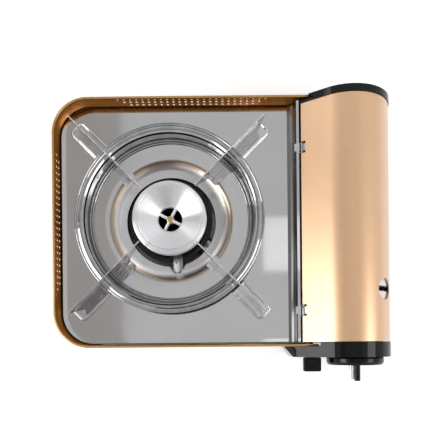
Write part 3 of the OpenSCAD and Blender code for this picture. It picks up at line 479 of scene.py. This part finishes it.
reflection_coloured = wired(well_tree, "ShaderNodeVectorMath", {0: steel_colour.links[0].from_socket,
                                                    1: reflected_wall_band.outputs["Color"]}, "MULTIPLY")
well_tree.links.new(reflection_coloured.outputs["Vector"], steel_colour)
well = round_section([(68, PLATE_TOP), (63.6, PLATE_TOP), (62.4, 45.8), (60.9, 45.1), (59, 43.9),
                      (57, 42.8), (55, 41.9), (52.4, 41.2), (46, 40.5), (46, 39.7), (52.4, 40.4),
                      (55, 41.1), (57.2, 42), (59.3, 43.1), (61.2, 44.3), (62.6, 45),
                      (63.8, PLATE_UNDER), (68, PLATE_UNDER)], ease=0, steps=128)
well_ring = solid(well, "pressed_well")
electrode = (-48.5, -27)
notch_plan = ((-10, 6.5), (-3, -4.5), (4, -4.5), (11, 7.5))
notch = [(electrode[0] + x, electrode[1] + y, 34) for x, y in notch_plan]
cut(well_ring, solid(drawn_out(notch, (0, 0, 14)), "electrode_notch"))
dress(well_ring, "stove_body", [], well_reflection_finish, corner=40)

# Burner body: cast aluminium cup with a black heat-proof enamelled coat, painted near-black also as painted
# shade for the deep gap round the cap, with the port ring that holds the flames, set in the well of the top
# plate on a strap.
# Near-black: the coat's own colour, and painted shade for the gap round the cap.
enamel_and_gap_shade = plating("black_enamel", (0.006, 0.006, 0.0065), metal=0.0, rough=0.16, mottle=0.2,
                 mottle_size=160, grain=(900, 900, 900), grain_depth=0.04)
tuned(enamel_and_gap_shade, "Specular IOR Level", 0.25)
coat(enamel_and_gap_shade, "burner_cup", "port_ring")
casting = plating("cast_aluminium", (0.42, 0.42, 0.43), metal=1.0, rough=0.46, mottle=0.12,
                  mottle_size=220, grain=(1100, 1100, 1100), grain_depth=0.25)
coat(casting, "gas_pipe", "regulator_body", "regulator_cover", "heat_panel")

# Burner cap: turned aluminium disc with a bright dished face, a groove inside its
# rim, a round mouth, and four spokes to the hub that its brass screw holds down.
turned = plating("turned_aluminium", (0.82, 0.82, 0.84), metal=1.0, rough=0.34, mottle=0.02,
                 mottle_size=60, grain=(40, 40, 40), grain_depth=0.0, rough_play=0.01)
tuned(turned, "Anisotropic", 0.97)
cap_tree = turned.node_tree
cap_face = cap_tree.nodes["Principled BSDF"]
where = wired(cap_tree, "ShaderNodeTexCoord", {}).outputs["Object"]
centred = wired(cap_tree, "ShaderNodeMapping", {"Vector": where,
                                                "Location": (-BURNER[0] * MM, -BURNER[1] * MM, 0)})
parts = wired(cap_tree, "ShaderNodeSeparateXYZ", {"Vector": centred.outputs["Vector"]}).outputs
level = wired(cap_tree, "ShaderNodeCombineXYZ", {"X": parts["X"], "Y": parts["Y"]}).outputs["Vector"]
outward = wired(cap_tree, "ShaderNodeVectorMath", {0: level}, "NORMALIZE").outputs["Vector"]
cap_tree.links.new(outward, cap_face.inputs["Tangent"])
lines = wired(cap_tree, "ShaderNodeTexWave", {"Vector": centred.outputs["Vector"], "Scale": 420,
                                              "Distortion": 0.4})
lines.wave_type = "RINGS"
lines.rings_direction = "Z"
tool_marks = wired(cap_tree, "ShaderNodeBump", {"Height": lines.outputs["Fac"], "Strength": 0.06,
                                                "Distance": 0.0001})
cap_tree.links.new(tool_marks.outputs["Normal"], cap_face.inputs["Normal"])
cap = round_section([(12.2, 49.2), (12.2, 53.9), (13.6, 55.2), (31.4, 61.9), (31.8, 61.5), (32.2, 61.5),
                     (32.6, 62.5), (36.2, 62.5), (37, 61.6), (37, 54.2), (30.6, 54.1), (14.4, 49.2)],
                    ease=0.22, steps=128)
for turn in (62, 153, 242, 333):
    spoke = block(-5.3, 5.3, -1.5, 1.5, -1.5, 1.5)
    eased(spoke, spoke.edges[:], radius=0.45, steps=2)
    join(cap, moved(moved(spoke, (7.6, 0, 50.6)), (*BURNER, 0), turn=turn))
join(cap, round_section([(1.8, 47.2), (3.6, 47.2), (3.6, 52.5), (3.0, 52.6), (1.8, 52.6)], ease=0.2,
                        steps=48))
dress(solid(cap, "turned_burner_cap"), "stove_body", ["burner_cap"], turned,
      corner=32)

# Brass parts: the cap's screw, the jet, the nozzle, the needle and the gland nut,
# all machined from bar and screwed into the castings.
brass = plating("machined_brass", (0.66, 0.45, 0.16), metal=1.0, rough=0.24, mottle=0.08,
                mottle_size=200, grain=(900, 900, 900), grain_depth=0.03)
coat(brass, "burner_screw", "gas_jet", "inlet_nozzle", "valve_needle", "gland_nut")

# Spark electrode: a glazed ceramic sleeve with a steel rod, bent towards the
# burner, on a bracket; its white lead runs under the plate to the igniter.
glaze = plating("glazed_ceramic", (0.86, 0.85, 0.81), metal=0.0, rough=0.16, mottle=0.03,
                mottle_size=300, grain=(400, 400, 400), grain_depth=0.02)
coat(glaze, "electrode_ceramic")
wire = plating("spark_wire_steel", (0.42, 0.41, 0.40), metal=1.0, rough=0.3, mottle=0.1,
               mottle_size=300, grain=(900, 900, 900), grain_depth=0.04)
coat(wire, "electrode_rod")
nylon = plating("white_nylon", (0.78, 0.78, 0.74), metal=0.0, rough=0.45, mottle=0.03, mottle_size=90,
                grain=(700, 700, 700), grain_depth=0.05)
coat(nylon, "ignition_cam", "igniter_plunger", "spark_lead", "yoke_guides")
black_nylon = plating("black_nylon", (0.006, 0.006, 0.006), metal=0.0, rough=0.45, mottle=0.15,
                      mottle_size=90, grain=(900, 900, 900), grain_depth=0.08)
tuned(black_nylon, "Specular IOR Level", 0.15)
coat(black_nylon, "igniter_body")

# Hinge brackets: dull plated steel, riveted to the partition, which carry the cover
# on two short pins. Two bright clips grip the plate's flange beside them.
HINGES = (-72, 91)
hinge_steel = plating("dull_hinge_steel", (0.34, 0.34, 0.35), metal=1.0, rough=0.30, mottle=0.1,
                      mottle_size=160, grain=(700, 700, 700), grain_depth=0.03)
coat(hinge_steel, "hinge_brackets")
clips = bmesh.new()
for y in HINGES:
    clip = [(72.2, 54.5), (73, 54.5), (73, 58.5), (77.3, 58.5), (77.3, 59.2), (72.2, 59.2)]
    join(clips, pulled(clip, y=y - 3.8, length=7.6))
bright_clip = plating("nickel_clip", (0.62, 0.62, 0.62), metal=1.0, rough=0.20, mottle=0.05,
                      mottle_size=160, grain=(500, 500, 500), grain_depth=0.02)
dress(solid(clips, "flange_clips"), "stove_body", [], bright_clip, ease=0.3, steps=3)

# Cover: one sheet of steel rolled over the gas bay, with a punched sight hole on
# its right, in satin gold paint. Two knuckles under its left edge turn on the pins.
BAY = (127.5, 43)
ROLL = math.radians(126.06)
PIN = (80.3, 57.6)
gold = plating("satin_gold_paint", (0.70, 0.435, 0.245), metal=0.60, rough=0.33, mottle=0.02,
               mottle_size=70, grain=(1400, 1400, 1400), grain_depth=0.012)
tuned(gold, "Coat Weight", 1.0)
tuned(gold, "Coat Roughness", 0.34)
COVER_R = 41.7
COVER_FOOT = 22
left_edge = (78.9, 59.2)
skin = bmesh.new()
foot = skin.edges.new([skin.verts.new((BAY[0] + COVER_R, y, COVER_FOOT)) for y in (-103.7, 134.7)])
rise = bmesh.ops.extrude_edge_only(skin, edges=[foot])["geom"]
bmesh.ops.translate(skin, vec=(0, 0, BAY[1] - COVER_FOOT), verts=verts_of(rise))
rolled = bmesh.ops.spin(skin, geom=verts_of(rise) + edges_of(rise), cent=(BAY[0], 0, BAY[1]),
                        axis=(0, -1, 0), angle=ROLL, steps=84)["geom_last"]
slope = bmesh.ops.extrude_edge_only(skin, edges=edges_of(rolled))["geom"]
(crest_x, crest_z), = arc(BAY, COVER_R, [ROLL])
bmesh.ops.translate(skin, vec=(left_edge[0] - crest_x, 0, left_edge[1] - crest_z), verts=verts_of(slope))
bmesh.ops.remove_doubles(skin, verts=skin.verts, dist=0.002)
bmesh.ops.recalc_face_normals(skin, faces=skin.faces)
skin.faces.ensure_lookup_table()
if skin.faces[0].normal.x < 0:
    bmesh.ops.reverse_faces(skin, faces=skin.faces)
bmesh.ops.solidify(skin, geom=skin.faces[:], thickness=1.0)
cover = solid(skin, "rolled_cover")
hole_lean, hole_y = 47, -52.5
hole = moved(plug(radius=10.5, depth=30, segments=64), (0, 0, 45))
moved(hole, (BAY[0], hole_y, BAY[1]), turn=hole_lean, axis="Y")
cut(cover, solid(hole, "sight_hole"))
for y in HINGES:
    cut(cover, solid(moved(block(-3.5, 3.5, -5.8, 5.8, -4.5, 4.5), (79.9, y, 57.5)), "hinge_notch"))
dress(cover, "cartridge_cover", ["cover"], gold, ease=0.3, steps=2)
knuckles = bmesh.new()
for y in HINGES:
    tube = round_section([(1.05, -3.5), (2.2, -3.5), (2.2, 3.5), (1.05, 3.5)], ease=0.25, steps=40,
                         centre=PIN, axis="Y")
    join(knuckles, moved(tube, (0, y, 0)))
    leaf = moved(block(-2.3, 2.3, -3.5, 3.5, -0.45, 0.45), (4.2, 0, 1.55))
    join(knuckles, moved(leaf, (PIN[0], y, PIN[1]), turn=-30, axis="Y"))
dress(solid(knuckles, "cover_knuckles"), "cartridge_cover", [], hinge_steel)

# Sight plates: tops of the regulator's bracket and of the cartridge yoke, seen through the cover's
# hole, in a near-white matt that is painted light on the zinc; the dark gap between them is the collar's
# notch.
# Near-white, non-metal: painted light, far brighter than the zinc these tops belong to.
satin = plating("sight_plate_painted_light", (0.86, 0.84, 0.85), metal=0.1, rough=0.34, mottle=0.03,
                mottle_size=120, grain=(700, 700, 700), grain_depth=0.02)
sweep = [math.radians(a) for a in range(4, 65, 4)]
band = arc(BAY, 39.6, sweep) + arc(BAY, 36.4, reversed(sweep))
for name, body, y, wide in (("bracket_sight_plate", "stove_body", -64.5, 9.9),
                            ("yoke_sight_plate", "yoke", -49.4, 7.8)):
    tops = pulled(band, y=y, length=wide)
    dress(solid(tops, name), body, [], satin, ease=0.2, steps=2)

# End caps: glossy black mouldings that close the gas bay at front and back, each
# a shell with a round shoulder that stands a little proud of the cover.
gloss_black = plating("gloss_black_moulding", (0.0025, 0.0025, 0.003), metal=0.0, rough=0.06,
                      mottle=0.1, mottle_size=60, grain=(200, 200, 200), grain_depth=0.003,
                      rough_play=0.02)
tuned(gloss_black, "Specular IOR Level", 0.22)
SHOULDER = 42.5
HOLLOW = 40.5
SEAM = (74, 56.6)
WALL_FRONT = -108.3
END_SLANT = 36.8


def bay_outline(radius, left, low):
    """The end shape of the gas bay as (x, z) corners: straight right side, round top, sloping left."""
    top = arc(BAY, radius, [ROLL * k / 60 for k in range(61)])
    end_z = top[-1][1] - (top[-1][0] - left) * math.tan(ROLL - RIGHT_ANGLE)
    return [(BAY[0] + radius, low)] + top + [(left, end_z), (left, low)]


def facet(dx, dz, y, length):
    """What the steep facet over the plate's seam takes off the front cap's left end."""
    corners = ((0, 0), (0, 30), (-25, 30), (-25, -19), (-11, -19))
    return pulled([(SEAM[0] + dx + x, SEAM[1] + dz + z) for x, z in corners], y, length)


front = solid(pulled(bay_outline(SHOULDER, left=62, low=7), y=-119, length=15), "front_cap_shell")
hollow = solid(pulled(bay_outline(HOLLOW, left=64, low=9), y=-117, length=20), "front_hollow")
inner_slant = moved(block(-20, 0, -40, 20, -1, 200), (64.5, WALL_FRONT, 0), turn=END_SLANT)
cut(hollow, solid(inner_slant, "inner_slant"))
cut(hollow, solid(facet(dx=1.8, dz=-1.0, y=-120, length=30), "inner_facet"))
cut(front, hollow)
cut(front, solid(facet(dx=0, dz=0, y=-121, length=14), "steep_facet"))
cut(front, solid(block(40, 94.8, WALL_FRONT, -90, 0, 100), "wall_room"))
cut(front, solid(block(60, 168, -108.1, -90, 0, 15), "pan_room"))
slant = moved(block(-20, 0, -40, 0, -1, 200), (62, WALL_FRONT, 0), turn=END_SLANT)
cut(front, solid(slant, "slanted_end"))
bore = moved(plug(radius=6.5, depth=8, segments=48), (134, -118, 45), turn=90, axis="X")
cut(front, solid(bore, "spindle_bore"))
cut(front, solid(block(85.2, 93.2, -121, -114, 31, 55), "lever_slot"))
dress(front, "stove_body", ["front_cap"], gloss_black, ease=0.9, steps=4, corner=40)
rear = solid(pulled(bay_outline(SHOULDER, left=77.5, low=15), y=135, length=7.2), "rear_cap_shell")
rear_hollow = pulled(bay_outline(HOLLOW, left=94.3, low=9), y=130, length=10.2)
cut(rear, solid(rear_hollow, "rear_hollow"))
cut(rear, solid(block(40, 92.3, 137.6, 150, 0, 62.3), "rear_wall_room"))
over_rim = [(x, y, 62) for x, y in ((60, 137.6), (90.3, 137.6), (83.8, 144), (60, 144))]
cut(rear, solid(drawn_out(over_rim, (0, 0, 40)), "rim_taper"))
dress(rear, "stove_body", ["rear_cap"], gloss_black, ease=0.9, steps=4, corner=40)

# Knob: glossy black moulded disc on the valve spindle, with a raised bar grip that
# leans a little when off. A pale metal strip beside the grip's left side is a painted highlight on the
# grip's rounded edge.
KNOB = (134, 45)
LEAN = -13.5
knob = round_section([(2.9, 119.4), (24, 119.3), (28.4, 119.6), (29, 120.6), (29, 124.6), (27.4, 127.3),
                      (0, 127.3), (0, 121.4), (2.9, 121.4)], ease=0.5, steps=96, centre=KNOB, axis="Y")
grip = block(-0.6, 5.3, -142.5, -126.5, -27.5, 27.5)
eased(grip, running(grip, "Y"), radius=2.6, steps=6)
join(knob, moved(grip, (KNOB[0], 0, KNOB[1]), turn=LEAN, axis="Y"))
dress(solid(knob, "knob_disc_and_grip"), "control_knob", ["knob"], gloss_black, ease=0.5,
      steps=3, corner=40)
# Pale metal strip: a painted highlight where the rounded grip edge catches the light.
grip_highlight_metal = plating("grip_painted_highlight", (0.74, 0.74, 0.75), metal=1.0, rough=0.14, mottle=0.03, mottle_size=60,
                 grain=(400, 400, 400), grain_depth=0.01)
strip = block(-5.3, -0.8, -141, -127.3, -26, 26)
eased(strip, running(strip, "Y"), radius=1.9, steps=5)
moved(strip, (KNOB[0], 0, KNOB[1]), turn=LEAN, axis="Y")
dress(solid(strip, "knob_grip_highlight_strip"), "control_knob", ["knob_inlay"], grip_highlight_metal,
      ease=0.3, steps=2)

# Lock lever: black nylon tab on a flat arm, with three grip ribs; pressing it down
# draws the yoke and the cartridge collar forwards onto the nozzle.
lever = block(80.45, 97.95, -133.8, -119.5, 46, 54)
eased(lever, running(lever, "Z"), radius=1.6, steps=5)
join(lever, block(86.2, 92.2, -119.7, -113, 47, 53))
join(lever, block(87.5, 90, -115, -86, 38, 53))
for y in (-131, -129, -127):
    join(lever, block(82.5, 96, y - 0.4, y + 0.4, 53.4, 54.0))
dress(solid(lever, "lever_tab"), "lever", ["lock_lever"], black_nylon, ease=0.5, steps=3)

# Pan ring: deep-drawn steel ring, nickel-plated, with a rolled bead round its outer rim
# and a low curl round its inner one. It rests loose in the tray.
def nickel_plating(name, grey, dent_size, dent_depth):
    """Polished nickel over sheet steel that the press left in shallow waves."""
    skin = plating(name, (grey, grey, grey * 1.01), metal=1.0, rough=0.09, mottle=0.14, mottle_size=90,
                   grain=(260, 260, 260), grain_depth=0.02, rough_play=0.04)
    tree = skin.node_tree
    where = wired(tree, "ShaderNodeTexCoord", {}).outputs["Object"]
    wave = wired(tree, "ShaderNodeTexNoise", {"Vector": where, "Scale": dent_size, "Detail": 1})
    dent = wired(tree, "ShaderNodeBump", {"Height": wave.outputs["Fac"], "Strength": 0.5,
                                          "Distance": dent_depth,
                                          "Normal": tree.nodes["Bump"].outputs["Normal"]})
    tree.links.new(dent.outputs["Normal"], tree.nodes["Principled BSDF"].inputs["Normal"])
    return skin


# Same nickel as the arms, painted darker: painted shade for the dark reflections along the ring's band.
ring_nickel_painted_dark = nickel_plating("ring_nickel_darkened_as_shade", grey=0.34, dent_size=75, dent_depth=0.0006)
ring = round_section([(79, 46.4), (83, 46.4), (84, 47.4), (86.2, 56.6), (87.4, 58.6), (89.5, 59.6),
                      (92.4, 58.9), (94, 58.7), (94.2, 57.4), (95.1, 57.4), (95.4, 59.6), (95, 60.6),
                      (94.2, 61), (93.4, 60.7), (92.8, 60), (91.6, 60.7), (90, 61.2), (88, 60.8),
                      (86.2, 59.4), (85.1, 57.2), (83.1, 48.6), (82.2, 47.5), (81.2, 47.5), (80.6, 48.1),
                      (79.8, 48.2), (79.1, 47.6)], ease=0.3, steps=160)
dress(solid(ring, "nickel_ring"), "pan_support", ["pan_ring"], ring_nickel_painted_dark, corner=60)

# Pan arms: four nickel-plated sheet-steel fins welded through the ring, each with a
# long outer foot that has a raised hem, and a short inner foot on the well's rim.
TRAY = 46.4
FOOT_TOP = 47.2
hem_width, hem_rise, hem_round = 2.5, 1.9, 1.1
# Same nickel as the ring, painted lighter: a painted sheen for the bright mottled faces of the fins.
arm_nickel_painted_light = nickel_plating("arm_nickel_lightened_as_sheen", grey=0.62, dent_size=150, dent_depth=0.0004)
fin = [(38.5, 74), (55.5, 60.4), (63.5, 46.6), (126, TRAY), (134, 76), (134, 81), (38.5, 81)]
for number in range(4):
    arm = drawn_out([(x, -0.6, z) for x, z in fin], (0, 1.2, 0))
    outer = block(95.6, 137, -9.25, 9.25, TRAY, FOOT_TOP)
    eased(outer, [e for e in running(outer, "Z") if e.verts[0].co.x > 100], radius=5, steps=8)
    top = [f for f in outer.faces if f.normal.z > 0.9]
    bmesh.ops.inset_region(outer, faces=top, thickness=0.3, use_even_offset=True)
    rim = bmesh.ops.inset_region(outer, faces=top, thickness=hem_width, use_even_offset=True)["faces"]
    raised = bmesh.ops.extrude_face_region(outer, geom=rim)["geom"]
    bmesh.ops.translate(outer, vec=(0, 0, hem_rise), verts=verts_of(raised))
    bmesh.ops.delete(outer, geom=rim, context="FACES_ONLY")
    outer.normal_update()
    hem = [e for e in outer.edges if all(v.co.z > 48 for v in e.verts) and len(e.link_faces) == 2
           and e.calc_face_angle() > 0.8]
    eased(outer, hem, radius=hem_round, steps=4)
    join(arm, outer)
    join(arm, block(57.5, 65.5, -7, 7, TRAY, FOOT_TOP))
    moved(arm, (*BURNER, 0), turn=45 + 90 * number)
    node = "pan_arm_%d" % (number + 1)
    dress(solid(arm, "nickel_arm_%d" % (number + 1)), "pan_support", [node], arm_nickel_painted_light,
          ease=0.35, steps=3)
